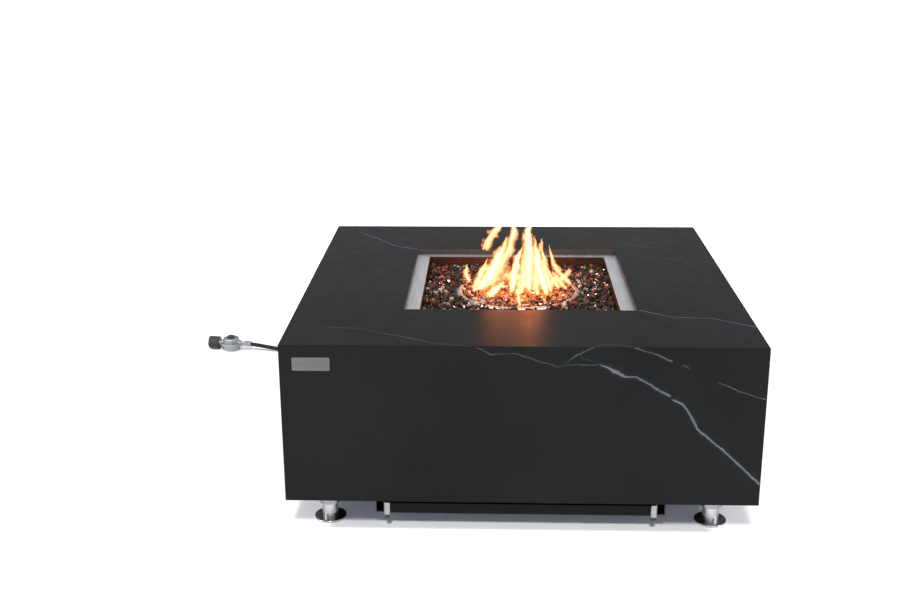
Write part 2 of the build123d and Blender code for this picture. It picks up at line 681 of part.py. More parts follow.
nodes = {
    "top_slab": [top_slab()],
    "cutout_edges": all_round(cutout_edge()),
    "front_panel": [side_panel()],
    "right_panel": [turned(side_panel(), 1)],
    "rear_panel": [rear_panel()],
    "left_panel": [left_panel()],
    "low_rails": drilled(low_rails()),
    "high_rails": high_rails(),
    "burner_rails": burner_rails(),
    "corner_posts": [corner_post(*sides) for sides in CORNERS.values()],
    "foot_plates": [foot_plate(*sides) for sides in CORNERS.values()],
    "foot_sleeves": [foot_sleeve(x * FOOT, y * FOOT) for x, y in CORNERS.values()],
    "pan_ledges": all_round(pan_ledge()),
    "burner_pan": [burner_pan()],
    "burner_ring": [burner_ring()],
    "burner_hub": [burner_hub()],
    "burner_spokes": spokes(),
    "lock_nuts": [hub_nut(), bulkhead_nut()],
    "fire_glass": [fire_glass()],
    "pilot_bracket": [pilot_bracket()],
    "spark_electrode": [spark_electrode()],
    "thermocouple": [thermocouple()],
    "heat_shield": [heat_shield()] + all_round(shield_spacer()),
    "air_mixer": [air_mixer()],
    "jet_elbow": [jet_elbow()],
    "burner_pipe": [burner_pipe()],
    "gas_valve": [gas_valve()],
    "valve_stem": [valve_stem()],
    "control_knob": [control_knob()],
    "knob_pointer": [knob_pointer()],
    "control_dish": [control_dish()],
    "plate_screws": [plate_screw(y, z) for y, z in screw_places()],
    "igniter_housing": [igniter_housing()],
    "igniter_button": [igniter_button()],
    "pilot_leads": [igniter_lead(), thermocouple_lead()],
    "bulkhead": [bulkhead()],
    "inlet_pipe": [inlet_pipe()],
    "hose_lead": [round_tube(HOSE_LEAD, cord_radii(HOSE_LEAD), HOSE / 2)],
    "hose_coil": [hose_coil()],
    "hose_tail": [round_tube(HOSE_TAIL, cord_radii(HOSE_TAIL), HOSE / 2)],
    "hose_tie": [hose_tie()],
    "hose_crimp": [hose_crimp()],
    "regulator_body": [regulator_body()],
    "regulator_cap": [regulator_cap()],
    "hand_wheel": [hand_wheel()],
    "name_plate": [name_plate()],
    "tray_rails": left_and_right(tray_rail()),
    "tray_cross_rail": drilled([tray_cross_rail()]),
    "frame_bolts": foot_bolts + tray_bolts,
    "outer_runners": left_and_right(outer_runner()),
    "middle_runners": left_and_right(middle_runner()),
    "inner_runners": left_and_right(inner_runner()),
    "tray_stops": left_and_right(tray_stop()),
    "tray": [tray()],
    "burner_lid": [burner_lid()],
    "lid_handle": [lid_handle()],
}
for place, (x, y) in CORNERS.items():
    nodes[f"foot_{place}"] = [foot_base(x * FOOT, y * FOOT)]

for name, shapes in nodes.items():
    save(name, shapes)

print(len(nodes), "nodes")
for name, route in (("hose_lead", HOSE_LEAD), ("hose_tail", HOSE_TAIL)):
    radii = cord_radii(route)
    length = bent_path(route, radii).length
    ratio = nodes[name][0].volume / (math.pi * HOSE**2 / 4 * length)
    print(name, "length", round(length), "least radius", round(min(radii)), "volume ratio", round(ratio, 4))
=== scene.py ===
import json
import math
import random

import bmesh
import bpy
from mathutils import Euler, Matrix, Vector, noise


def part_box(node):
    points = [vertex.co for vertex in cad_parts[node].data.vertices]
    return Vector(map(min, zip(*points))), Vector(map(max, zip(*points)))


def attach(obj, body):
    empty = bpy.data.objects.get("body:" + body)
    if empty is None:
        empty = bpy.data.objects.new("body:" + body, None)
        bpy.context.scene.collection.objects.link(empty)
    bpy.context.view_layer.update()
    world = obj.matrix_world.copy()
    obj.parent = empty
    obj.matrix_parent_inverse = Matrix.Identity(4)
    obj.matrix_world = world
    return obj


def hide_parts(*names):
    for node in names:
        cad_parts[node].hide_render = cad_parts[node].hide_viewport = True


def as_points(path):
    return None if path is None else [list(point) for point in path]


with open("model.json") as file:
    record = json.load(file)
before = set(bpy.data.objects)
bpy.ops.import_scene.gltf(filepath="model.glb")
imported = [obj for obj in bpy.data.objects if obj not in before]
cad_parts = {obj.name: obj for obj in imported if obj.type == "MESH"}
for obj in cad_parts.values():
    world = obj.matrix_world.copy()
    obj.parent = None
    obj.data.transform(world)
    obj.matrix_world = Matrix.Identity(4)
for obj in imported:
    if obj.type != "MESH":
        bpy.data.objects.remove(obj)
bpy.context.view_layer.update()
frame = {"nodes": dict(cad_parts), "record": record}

# Places and sizes, in metres, read from the frame
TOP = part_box("top_slab")[1].z
PAN_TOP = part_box("burner_pan")[1].z
GLASS_LOW, GLASS_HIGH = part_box("fire_glass")
RING_LOW, RING_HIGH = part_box("burner_ring")
RING_TUBE = (RING_HIGH.z - RING_LOW.z) / 2
RING_RADIUS = RING_HIGH.x - RING_TUBE
RING_Z = (RING_HIGH.z + RING_LOW.z) / 2


# ---------------------------------------------------------------- camera

LENS, SENSOR = 47.863, 36.0                     # millimetres
YAW, PITCH, ROLL = -2.215, 17.599, -0.350       # degrees
CAMERA = (-0.0621, -2.9833, TOP + 0.8827)


def add_camera():
    """A 48 mm lens a little left of the middle, looking down about 18 degrees."""
    data = bpy.data.cameras.new("camera")
    data.sensor_width = SENSOR
    data.lens = LENS
    data.clip_end = 200.0
    camera = bpy.data.objects.new("camera", data)
    bpy.context.scene.collection.objects.link(camera)
    yaw, pitch, roll = math.radians(YAW), math.radians(PITCH), math.radians(ROLL)
    forward = Vector((math.sin(yaw) * math.cos(pitch), math.cos(yaw) * math.cos(pitch), -math.sin(pitch)))
    level = Vector((math.cos(yaw), -math.sin(yaw), 0.0))
    upright = level.cross(forward)
    right = level * math.cos(roll) + upright * math.sin(roll)
    up = upright * math.cos(roll) - level * math.sin(roll)
    turn = Matrix((right, up, -forward)).transposed().to_4x4()
    camera.matrix_world = Matrix.Translation(CAMERA) @ turn
    bpy.context.scene.camera = camera


add_camera()


# ---------------------------------------------------------------- gas hose

HOSE = 0.013
COIL_X, COIL_Y = -0.290, 0.770
LANE_MIDDLE = 0.075         # radius midway between the inner and the outer turns
STEPS = 18                  # points in one turn of the coil

HOSE_LEAD = [(-0.040, 0.575, 0.138), (-0.040, 0.628, 0.136), (-0.046, 0.696, 0.110), (-0.063, 0.757, 0.059),
             (-0.097, 0.811, 0.019), (-0.152, 0.844, 0.0065), (-0.222, 0.853, 0.0065)]
HOSE_TAIL = [(-0.375, 0.827, 0.017), (-0.433, 0.802, 0.010), (-0.492, 0.769, 0.007), (-0.553, 0.734, 0.0066),
             (-0.619, 0.704, 0.0066), (-0.690, 0.685, 0.0066), (-0.757, 0.680, 0.008), (-0.812, 0.686, 0.016),
             (-0.858, 0.692, 0.0215)]


def coil_points():
    """Four turns in two layers of two, which change places in the last sixth of each turn."""
    points = []
    reach = HOSE / math.sqrt(2)
    for step in range(4 * STEPS + 2):
        turns, part = divmod(step / STEPS, 1)
        swap = max(0.0, (part - 5 / 6) * 6)
        swap = swap * swap * (3 - 2 * swap)
        turn = -45 - 90 * (turns + swap)
        out, up = reach * math.cos(math.radians(turn)), reach * math.sin(math.radians(turn))
        if turns < 3:
            up += max(0.0, reach * abs(math.sin(math.radians(-45 - 90 * swap))) - HOSE / 2)
        else:
            leave = max(0.0, step / STEPS - 3 - 4 / 6) * 3
            out, up = HOSE / 2 + min(leave, 1.0) * HOSE, HOSE / 2
        angle = math.radians(90 + 360 * step / STEPS)
        radius = (LANE_MIDDLE + out) / math.cos(math.pi / STEPS)
        points.append((COIL_X + radius * math.cos(angle), COIL_Y + radius * math.sin(angle), HOSE + up))
    return points


def cord_tube(name, points, diameter):
    """A tube round one smooth NURBS spline, and the points of the spline's own line."""
    data = bpy.data.curves.new(name, "CURVE")
    data.dimensions = "3D"
    spline = data.splines.new("NURBS")
    spline.points.add(len(points) - 1)
    for point, place in zip(spline.points, points):
        point.co = (*place, 1.0)
    spline.order_u = 3
    spline.use_endpoint_u = True
    spline.resolution_u = 10
    curve = bpy.data.objects.new(name + "_line", data)
    line = [tuple(vertex.co) for vertex in bpy.data.meshes.new_from_object(curve).vertices]
    data.bevel_depth = diameter / 2
    data.bevel_resolution = 6
    data.use_fill_caps = True
    mesh = bpy.data.meshes.new_from_object(curve)
    bpy.data.objects.remove(curve)
    mesh.polygons.foreach_set("use_smooth", [True] * len(mesh.polygons))
    tube = bpy.data.objects.new(name, mesh)
    bpy.context.scene.collection.objects.link(tube)
    return tube, line


hose, hose_line = cord_tube("gas_hose", HOSE_LEAD + coil_points() + HOSE_TAIL, HOSE)
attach(hose, "table")
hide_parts("hose_lead", "hose_coil", "hose_tail")


# ---------------------------------------------------------------- node materials

class Paint:
    """Short calls for building a node material."""

    def __init__(self, name, bare=False, **fixed):
        self.material = bpy.data.materials.new(name)
        self.material.use_nodes = True
        self.tree = self.material.node_tree
        if bare:
            self.tree.nodes.clear()
        else:
            self.shader = self.tree.nodes["Principled BSDF"]
            self.set(**fixed)
        self.place = self.add("ShaderNodeTexCoord").outputs["Object"]

    def add(self, kind, inputs=None, **settings):
        node = self.tree.nodes.new(kind)
        for key, value in settings.items():
            setattr(node, key, value)
        for socket, value in (inputs or {}).items():
            self.feed(node.inputs[socket], value)
        return node

    def feed(self, socket, value):
        if isinstance(value, bpy.types.NodeSocket):
            self.tree.links.new(value, socket)
        elif isinstance(value, tuple) and socket.type == "RGBA":
            socket.default_value = (*value, 1.0)
        else:
            socket.default_value = value

    def set(self, **sockets):
        for name, value in sockets.items():
            self.feed(self.shader.inputs[name.replace("_", " ")], value)

    def math(self, operation, *values, clamp=False):
        node = self.add("ShaderNodeMath", dict(enumerate(values)), operation=operation, use_clamp=clamp)
        return node.outputs[0]

    def stretched(self, *factors):
        """The piece's own place, with each axis multiplied."""
        node = self.add("ShaderNodeVectorMath", {0: self.place, 1: factors}, operation="MULTIPLY")
        return node.outputs[0]

    def axes(self):
        return self.add("ShaderNodeSeparateXYZ", {0: self.place}).outputs

    def noise(self, scale, detail=3.0, place=None, rough=0.55):
        node = self.add("ShaderNodeTexNoise", {"Vector": place or self.place, "Scale": scale,
                                               "Detail": detail, "Roughness": rough})
        return node.outputs["Fac"]

    def spread(self, value, low, high, to_low=0.0, to_high=1.0, kind="LINEAR"):
        node = self.add("ShaderNodeMapRange", {0: value, 1: low, 2: high, 3: to_low, 4: to_high},
                        interpolation_type=kind)
        return node.outputs[0]

    def mix(self, factor, first, second, kind="MIX"):
        node = self.add("ShaderNodeMix", {0: factor, 6: first, 7: second}, data_type="RGBA", blend_type=kind)
        return node.outputs[2]

    def bump(self, height, distance, strength=1.0):
        node = self.add("ShaderNodeBump", {"Strength": strength, "Distance": distance, "Height": height})
        self.set(Normal=node.outputs[0])

    def curve(self, value, points, angular=False):
        """A function through points whose both values run from 0 to 1."""
        node = self.add("ShaderNodeFloatCurve", {"Value": value})
        line = node.mapping.curves[0]
        line.points[0].location = points[0]
        line.points[1].location = points[-1]
        for point in points[1:-1]:
            line.points.new(*point)
        for point in line.points:
            point.handle_type = "VECTOR" if angular else "AUTO"
        node.mapping.update()
        return node.outputs[0]


def plain(name, dark, light, roughness, metallic=0.0, grain=60.0, bump=0.0, stretch=(1, 1, 1), **fixed):
    """A finish with fine grain, in two tones and two roughnesses."""
    paint = Paint(name, Metallic=metallic, **fixed)
    place = paint.stretched(*stretch)
    fine = paint.noise(grain, 5.0, place)
    cloud = paint.noise(grain / 12, 2.0)
    blend = paint.math("ADD", paint.math("MULTIPLY", fine, 0.6), paint.math("MULTIPLY", cloud, 0.4))
    paint.set(Base_Color=paint.mix(paint.spread(blend, 0.3, 0.7), dark, light))
    paint.set(Roughness=paint.spread(fine, 0.3, 0.7, roughness[0], roughness[1]))
    if bump:
        paint.bump(fine, bump)
    return paint.material


# ---------------------------------------------------------------- porcelain with veins

STONE_DARK, STONE_PALE = (0.0046, 0.0055, 0.0053), (0.0074, 0.0084, 0.0085)
VEIN_COLOUR = (0.110, 0.118, 0.138)
WANDER, FRAY = 0.010, 0.0040        # how far noise bends a vein and frays its edge
HALO = 0.035                        # strength of the paler stone on both sides of a vein


class Veins:
    """Veins drawn on one face of the stone. across and up name the face's two axes."""

    def __init__(self, name, across, up, gloss=0.095):
        self.paint = Paint(name, Specular_IOR_Level=gloss)
        axes = self.paint.axes()
        self.across, self.up = axes["XYZ".index(across)], axes["XYZ".index(up)]
        paint = self.paint
        cloud = paint.noise(3.1, 5.0)
        speck = paint.noise(420.0, 2.0)
        blotches = paint.mix(paint.spread(cloud, 0.35, 0.7), STONE_DARK, STONE_PALE)
        self.colour = paint.mix(paint.spread(speck, 0.62, 0.78, 0.0, 0.35), blotches, (0.030, 0.032, 0.036))
        self.rough = paint.spread(paint.noise(38.0, 4.0), 0.3, 0.7, 0.28, 0.36)
        self.wander = paint.math("SUBTRACT", paint.noise(23.0, 4.0), 0.5)
        self.fray = paint.math("SUBTRACT", paint.noise(190.0, 3.0), 0.5)
        self.fade = paint.noise(13.0, 3.0)

    def vein(self, points, widths, strength=0.8, steady=0.0):
        """A vein through (across, up) points. Its widths, in millimetres, are spread evenly along it."""
        paint = self.paint
        (x0, y0), (x1, y1) = points[0], points[-1]
        length = math.hypot(x1 - x0, y1 - y0)
        ux, uy = (x1 - x0) / length, (y1 - y0) / length
        line = []
        for x, y in points:
            line.append((((x - x0) * ux + (y - y0) * uy) / length, (y - y0) * ux - (x - x0) * uy))
        swing = max(0.01, max(abs(side) for _, side in line)) * 1.15
        line = [(run, 0.5 + side / swing / 2) for run, side in line]
        dx, dy = paint.math("SUBTRACT", self.across, x0), paint.math("SUBTRACT", self.up, y0)
        run = paint.math("DIVIDE", paint.math("ADD", paint.math("MULTIPLY", dx, ux),
                                              paint.math("MULTIPLY", dy, uy)), length)
        side = paint.math("SUBTRACT", paint.math("MULTIPLY", dy, ux), paint.math("MULTIPLY", dx, uy))
        offset = paint.math("MULTIPLY", paint.math("SUBTRACT", paint.curve(run, line, True), 0.5), 2 * swing)
        gap = paint.math("SUBTRACT", side, offset)
        gap = paint.math("ADD", gap, paint.math("MULTIPLY", self.wander, WANDER))
        gap = paint.math("ADD", gap, paint.math("MULTIPLY", self.fray, FRAY))
        gap = paint.math("ABSOLUTE", gap)
        steps = [(index / (len(widths) - 1), width / 10) for index, width in enumerate(widths)]
        width = paint.math("MULTIPLY", paint.curve(run, steps), 0.01)
        body = paint.spread(gap, paint.math("MULTIPLY", width, 0.25), width, 1.0, 0.0, "SMOOTHSTEP")
        halo = paint.spread(gap, 0.0, paint.math("MULTIPLY", width, 4.0), HALO, 0.0, "SMOOTHSTEP")
        start, end = paint.spread(run, -0.004, 0.02), paint.spread(run, 0.98, 1.004, 1.0, 0.0)
        ends = paint.math("MULTIPLY", start, end)
        fade = paint.spread(self.fade, 0.36, 0.56, steady, 1.0)
        mask = paint.math("MULTIPLY", paint.math("MAXIMUM", body, halo), paint.math("MULTIPLY", ends, fade))
        self.colour = paint.mix(paint.math("MULTIPLY", mask, strength), self.colour, VEIN_COLOUR)
        self.rough = paint.math("ADD", self.rough, paint.math("MULTIPLY", mask, 0.06))
        return self

    def done(self):
        self.paint.set(Base_Color=self.colour, Roughness=self.rough)
        self.paint.bump(self.paint.noise(520.0, 3.0), 0.00006, 0.5)
        return self.paint.material


# Each vein: points on the face in metres, widths in millimetres, strength, and how little it breaks up

top_veins = Veins("porcelain_top", "X", "Y", 0.053)
top_veins.vein([(-0.460, -0.409), (-0.368, -0.419), (-0.319, -0.448), (-0.246, -0.484), (-0.193, -0.518),
                (-0.105, -0.536)], [1.4, 2.2, 1.6, 2.0, 1.2, 1.0], 0.55, 0.35)
top_veins.vein([(0.160, -0.530), (0.180, -0.519), (0.215, -0.521), (0.240, -0.535)],
               [1.4, 1.4, 1.4], 0.5, 0.6)
top_veins.vein([(0.277, -0.272), (0.315, -0.298), (0.350, -0.324), (0.441, -0.332), (0.488, -0.363),
                (0.536, -0.394)], [3.0, 2.8, 1.8, 1.3, 1.8, 2.4], 0.85, 0.45)
top_veins.vein([(-0.459, 0.460), (-0.397, 0.379), (-0.337, 0.298), (-0.277, 0.268)],
               [1.5, 2.5, 2.7, 3.2, 2.6], 0.75, 0.45)
top_veins.vein([(0.280, 0.368), (0.344, 0.309), (0.400, 0.285)], [1.8, 1.8, 1.4], 0.48, 0.5)
top_veins.vein([(0.323, 0.196), (0.410, 0.182), (0.515, 0.156)], [1.6, 1.8, 1.6], 0.42, 0.4)
PORCELAIN_TOP = top_veins.done()

front_veins = Veins("porcelain_front", "X", "Z")
front_veins.vein([(-0.102, 0.461), (-0.069, 0.443), (-0.015, 0.445), (0.028, 0.431), (0.079, 0.415),
                  (0.122, 0.420), (0.172, 0.422)], [1.1, 1.5, 1.1, 1.7, 1.3, 1.8, 0.9], 0.62, 0.45)
front_veins.vein([(0.168, 0.421), (0.186, 0.414), (0.201, 0.406), (0.209, 0.403), (0.223, 0.395),
                  (0.249, 0.392), (0.267, 0.381), (0.292, 0.365), (0.326, 0.346)],
                 [1.6, 2.6, 4.2, 6.2, 4.6, 2.6, 3.2, 3.8, 2.8, 3.6, 3.0, 3.6, 2.6], 0.95, 0.8)
front_veins.vein([(0.327, 0.341), (0.351, 0.330), (0.369, 0.308), (0.378, 0.290), (0.389, 0.270),
                  (0.420, 0.240), (0.442, 0.225), (0.466, 0.201), (0.536, 0.135)],
                 [2.8, 3.6, 3.0, 4.6, 3.2, 3.8, 2.6, 3.4, 2.4, 4.2, 3.0, 3.4, 2.8], 0.95, 0.75)
front_veins.vein([(0.093, 0.422), (0.118, 0.441), (0.143, 0.456), (0.160, 0.463)],
                 [1.2, 1.6, 1.3], 0.6, 0.5)
front_veins.vein([(0.240, 0.462), (0.286, 0.446), (0.326, 0.429)], [1.8, 2.4, 2.0, 2.6], 0.7, 0.5)
front_veins.vein([(0.345, 0.420), (0.356, 0.417), (0.363, 0.412)], [1.4, 1.6, 1.2], 0.4, 0.5)
front_veins.vein([(0.425, 0.382), (0.477, 0.359), (0.510, 0.347), (0.536, 0.341)],
                 [1.4, 1.9, 1.3, 2.0], 0.5, 0.3)
front_veins.vein([(0.120, 0.447), (0.131, 0.436), (0.150, 0.431)], [0.9, 1.0, 0.8], 0.35, 0.5)
PORCELAIN_FRONT = front_veins.done()

right_veins = Veins("porcelain_right", "Y", "Z")
right_veins.vein([(-0.536, 0.139), (-0.480, 0.128), (-0.430, 0.103), (-0.395, 0.084)],
                 [2.6, 3.2, 2.0, 1.6], 0.9, 0.7)
right_veins.vein([(-0.536, 0.341), (-0.470, 0.326), (-0.410, 0.333), (-0.340, 0.309)],
                 [1.6, 1.2, 1.6, 0.8], 0.5, 0.2)
right_veins.vein([(-0.394, 0.462), (-0.352, 0.441), (-0.306, 0.447), (-0.241, 0.412), (-0.163, 0.389),
                  (-0.108, 0.342), (-0.047, 0.327), (0.034, 0.271), (0.121, 0.252), (0.190, 0.196),
                  (0.303, 0.163), (0.371, 0.121), (0.452, 0.084)],
                 [1.4, 1.9, 1.2, 2.4, 1.6, 2.7, 1.8, 3.0, 2.0, 2.6, 1.6], 0.75, 0.4)
PORCELAIN_RIGHT = right_veins.done()

rear_veins = Veins("porcelain_rear", "X", "Z")
rear_veins.vein([(0.536, 0.402), (0.447, 0.389), (0.391, 0.357), (0.302, 0.341), (0.226, 0.298),
                 (0.131, 0.282), (0.052, 0.231), (-0.058, 0.219), (-0.131, 0.164), (-0.236, 0.132),
                 (-0.309, 0.084)],
                [1.8, 1.4, 2.6, 1.7, 3.1, 2.2, 2.8, 1.5, 2.4, 1.6], 0.7, 0.4)
rear_veins.vein([(-0.271, 0.462), (-0.330, 0.421), (-0.408, 0.407), (-0.469, 0.362), (-0.536, 0.347)],
                [1.4, 1.8, 1.2, 1.6, 1.3], 0.5, 0.3)
PORCELAIN_REAR = rear_veins.done()

left_veins = Veins("porcelain_left", "Y", "Z")
left_veins.vein([(0.536, 0.347), (0.441, 0.366), (0.352, 0.391), (0.287, 0.437), (0.241, 0.462)],
                [1.3, 1.8, 1.2, 2.0, 1.4], 0.6, 0.3)
left_veins.vein([(-0.536, 0.232), (-0.442, 0.218), (-0.377, 0.179), (-0.262, 0.163), (-0.171, 0.117),
                 (-0.096, 0.084)], [1.2, 2.2, 1.5, 2.7, 1.8, 1.5], 0.6, 0.35)
PORCELAIN_LEFT = left_veins.done()

PORCELAIN_EDGE = plain("porcelain_edge", STONE_DARK, STONE_PALE, (0.40, 0.52), grain=38.0, bump=0.00006,
                       Specular_IOR_Level=0.3)


# ---------------------------------------------------------------- other finishes

CUT_EDGE = plain("cut_edge", (0.011, 0.014, 0.016), (0.018, 0.023, 0.026), (0.40, 0.52), grain=38.0,
                 bump=0.00006, Specular_IOR_Level=0.3)
FRAME_STEEL = plain("frame_steel", (0.010, 0.010, 0.011), (0.018, 0.018, 0.019), (0.38, 0.55), grain=240.0,
                    bump=0.00012)
TRAY_BLACK = plain("tray_black", (0.0020, 0.0028, 0.0023), (0.0038, 0.0050, 0.0042), (0.42, 0.54),
                   grain=420.0, bump=0.00008, Specular_IOR_Level=0.12)
BRUSHED = plain("brushed_stainless", (0.36, 0.355, 0.36), (0.54, 0.53, 0.54), (0.26, 0.40), 1.0, grain=90.0,
                bump=0.00002, stretch=(0.35, 6.0, 6.0))


PAN_MOUTH = 0.2425                  # half the pan's opening


def pan_steel():
    """Brushed steel, brown inside the pan and along the flange's inner edge at the back, with painted shade
    and reflection darkening the flange's strip at the back.
    """
    paint = Paint("pan_stainless", Metallic=1.0)
    brushed = paint.noise(150.0, 5.0, paint.stretched(1.0, 0.06, 1.0))
    blotches = paint.noise(9.0, 4.0)
    across, back, height = paint.axes()
    inside = paint.spread(height, PAN_TOP - 0.0016, PAN_TOP - 0.0004, 1.0, 0.0)
    past = paint.spread(back, PAN_MOUTH - 0.0020, PAN_MOUTH)
    near = paint.spread(back, PAN_MOUTH + 0.0010, PAN_MOUTH + 0.0040, 1.0, 0.0)
    between = paint.spread(paint.math("ABSOLUTE", across), PAN_MOUTH - 0.0020, PAN_MOUTH + 0.0015, 1.0, 0.0)
    back_lip = paint.math("MULTIPLY", paint.math("MULTIPLY", past, near), between)
    inside = paint.math("MAXIMUM", inside, back_lip)
    behind = paint.math("ADD", back, paint.math("MULTIPLY", blotches, 0.010))
    bright = paint.mix(brushed, (0.80, 0.78, 0.80), (0.96, 0.94, 0.96))
    # Painted shade and painted reflection: the flange darkens towards the back, where the wall behind shades
    # it and shows in it.
    painted_back_shade = paint.spread(behind, PAN_MOUTH + 0.0215, PAN_MOUTH + 0.0355, 0.0, 0.80)
    bright = paint.mix(painted_back_shade, bright, (0.27, 0.22, 0.20))
    # Darker brown inside the pan and along the back lip, in blotches.
    brown = paint.mix(blotches, (0.085, 0.046, 0.030), (0.21, 0.122, 0.082))
    paint.set(Base_Color=paint.mix(inside, bright, brown))
    paint.set(Roughness=paint.spread(brushed, 0.3, 0.7, 0.36, 0.48))
    paint.bump(brushed, 0.00002)
    return paint.material


FLANGE = pan_steel()
POLISHED = plain("polished_steel", (0.40, 0.40, 0.405), (0.62, 0.62, 0.625), (0.20, 0.30), 1.0, grain=30.0,
                 stretch=(0.6, 0.6, 22.0))
# Painted shade: a darker copy of the polished steel, for the sleeves right under the table.
SHADED_SLEEVE_STEEL = plain("sleeve_steel_shaded", (0.20, 0.20, 0.205), (0.36, 0.36, 0.365), (0.12, 0.20), 1.0, grain=30.0,
                     stretch=(14.0, 14.0, 0.8))
ZINC = plain("zinc_plated", (0.28, 0.295, 0.30), (0.42, 0.44, 0.445), (0.30, 0.44), 1.0, grain=110.0,
             bump=0.00002)
BRASS = plain("brass", (0.55, 0.37, 0.14), (0.74, 0.53, 0.23), (0.22, 0.38), 1.0, grain=120.0, bump=0.00002)
DIE_CAST = plain("die_cast", (0.30, 0.31, 0.32), (0.44, 0.45, 0.46), (0.42, 0.58), 1.0, grain=260.0,
                 bump=0.00010)
BLACK_PLASTIC = plain("black_plastic", (0.011, 0.011, 0.012), (0.019, 0.019, 0.020), (0.36, 0.50),
                      grain=520.0, bump=0.00006)
POINTER_WHITE = plain("pointer_white", (0.70, 0.70, 0.68), (0.82, 0.82, 0.80), (0.40, 0.55), grain=300.0)
RUBBER = plain("hose_rubber", (0.005, 0.005, 0.0055), (0.011, 0.011, 0.012), (0.48, 0.66), grain=360.0,
               bump=0.00010, Specular_IOR_Level=0.25)
CERAMIC = plain("insulator", (0.62, 0.60, 0.55), (0.78, 0.76, 0.71), (0.25, 0.40), grain=90.0, bump=0.00003)
SOOTED = plain("sooted_ring", (0.44, 0.385, 0.365), (0.74, 0.68, 0.655), (0.34, 0.50), 1.0, grain=46.0,
               bump=0.00003)
PLATE = plain("plate_metal", (0.115, 0.113, 0.108), (0.18, 0.178, 0.172), (0.34, 0.46), 1.0, grain=120.0,
              bump=0.00001, stretch=(0.1, 1.0, 5.0))

SLOT_FINISH = {"porcelain": PORCELAIN_EDGE, "frame_steel": FRAME_STEEL, "stainless": BRUSHED,
               "polished_steel": POLISHED, "zinc": ZINC, "brass": BRASS, "die_cast": DIE_CAST,
               "black_plastic": BLACK_PLASTIC, "pointer_white": POINTER_WHITE, "hose_rubber": RUBBER,
               "insulator": CERAMIC, "fire_glass": PORCELAIN_EDGE}
NODE_FINISH = {"burner_ring": SOOTED, "burner_hub": SOOTED, "burner_spokes": SOOTED, "name_plate": PLATE,
               "burner_pan": FLANGE, "cutout_edges": CUT_EDGE, "tray": TRAY_BLACK, "burner_lid": TRAY_BLACK,
               "foot_sleeves": SHADED_SLEEVE_STEEL}


def paint_nodes():
    """Every CAD node gets the finish of its material slot, or one of its own."""
    slots = {part["node"]: part["material_slot"] for part in frame["record"]["subparts"]}
    for name, node in frame["nodes"].items():
        node.data.materials.clear()
        node.data.materials.append(NODE_FINISH.get(name, SLOT_FINISH[slots[name]]))


paint_nodes()
hose.data.materials.append(RUBBER)


# ---------------------------------------------------------------- detailed pieces

def place(name, mesh, material, body, slot_name, *replaced, smooth=35):
    """Add a mesh as a piece that rides on a body."""
    piece = bpy.data.objects.new(name, mesh)
    bpy.context.scene.collection.objects.link(piece)
    mesh.materials.append(material)
    if smooth:
        mesh.polygons.foreach_set("use_smooth", [True] * len(mesh.polygons))
        mesh.set_sharp_from_angle(angle=math.radians(smooth))
    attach(piece, body)
    if replaced:
        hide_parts(*replaced)
    return piece


def softened(node, width, segments=3):
    """A copy of a CAD node's mesh with its long edges rounded and its flat faces flat."""
    work = bmesh.new()
    work.from_mesh(frame["nodes"][node].data)
    bmesh.ops.remove_doubles(work, verts=work.verts, dist=1e-5)
    sharp = [edge for edge in work.edges
             if len(edge.link_faces) == 2 and edge.calc_face_angle() > 0.5 and edge.calc_length() > 0.01]
    for face in work.faces:
        face.smooth = False
    rounded = bmesh.ops.bevel(work, geom=sharp, offset=width, segments=segments, affect="EDGES",
                              clamp_overlap=True)
    for face in rounded["faces"]:
        face.smooth = True
    mesh = bpy.data.meshes.new(node + "_fine")
    work.to_mesh(mesh)
    work.free()
    return mesh


STONE_PIECES = [("stone_top", "top_slab", 0.0007, PORCELAIN_TOP),
                ("stone_front", "front_panel", 0.0005, PORCELAIN_FRONT),
                ("stone_right", "right_panel", 0.0005, PORCELAIN_RIGHT),
                ("stone_rear", "rear_panel", 0.0005, PORCELAIN_REAR),
                ("stone_left", "left_panel", 0.0005, PORCELAIN_LEFT)]
for name, node, width, porcelain in STONE_PIECES:
    place(name, softened(node, width), porcelain, "table", "porcelain", node, smooth=None)


# Strain relief: a tapered sleeve where the hose leaves its fitting

def turned_sleeve(name, start, along, profile, material, slot_name):
    """A ring of revolution round a line, from (distance, radius) pairs."""
    aim = Vector(along).normalized().to_track_quat("Z", "Y")
    sides = 32
    work = bmesh.new()
    rings = []
    for distance, radius in profile:
        ring = []
        for side in range(sides):
            turn = 2 * math.pi * side / sides
            local = Vector((radius * math.cos(turn), radius * math.sin(turn), distance))
            ring.append(work.verts.new(Vector(start) + aim @ local))
        rings.append(ring)
    for near, far in zip(rings, rings[1:]):
        for side in range(sides):
            after = (side + 1) % sides
            work.faces.new((near[side], near[after], far[after], far[side]))
    work.faces.new(list(reversed(rings[0])))
    work.faces.new(rings[-1])
    mesh = bpy.data.meshes.new(name)
    work.to_mesh(mesh)
    work.free()
    return place(name, mesh, material, "table", slot_name)


# Distance along the sleeve and radius there: a grip, two bend grooves and a long taper
SLEEVE = [(0, 0.0102), (0.006, 0.0102), (0.007, 0.0094), (0.010, 0.0094), (0.011, 0.0098), (0.017, 0.0092),
          (0.018, 0.0086), (0.021, 0.0086), (0.022, 0.0089), (0.030, 0.0082), (0.040, 0.0074),
          (0.046, 0.0069)]
strain_relief = turned_sleeve("hose_strain_relief", (-0.040, 0.574, 0.138), (0, 1, -0.015), SLEEVE, RUBBER,
                              "hose_rubber")


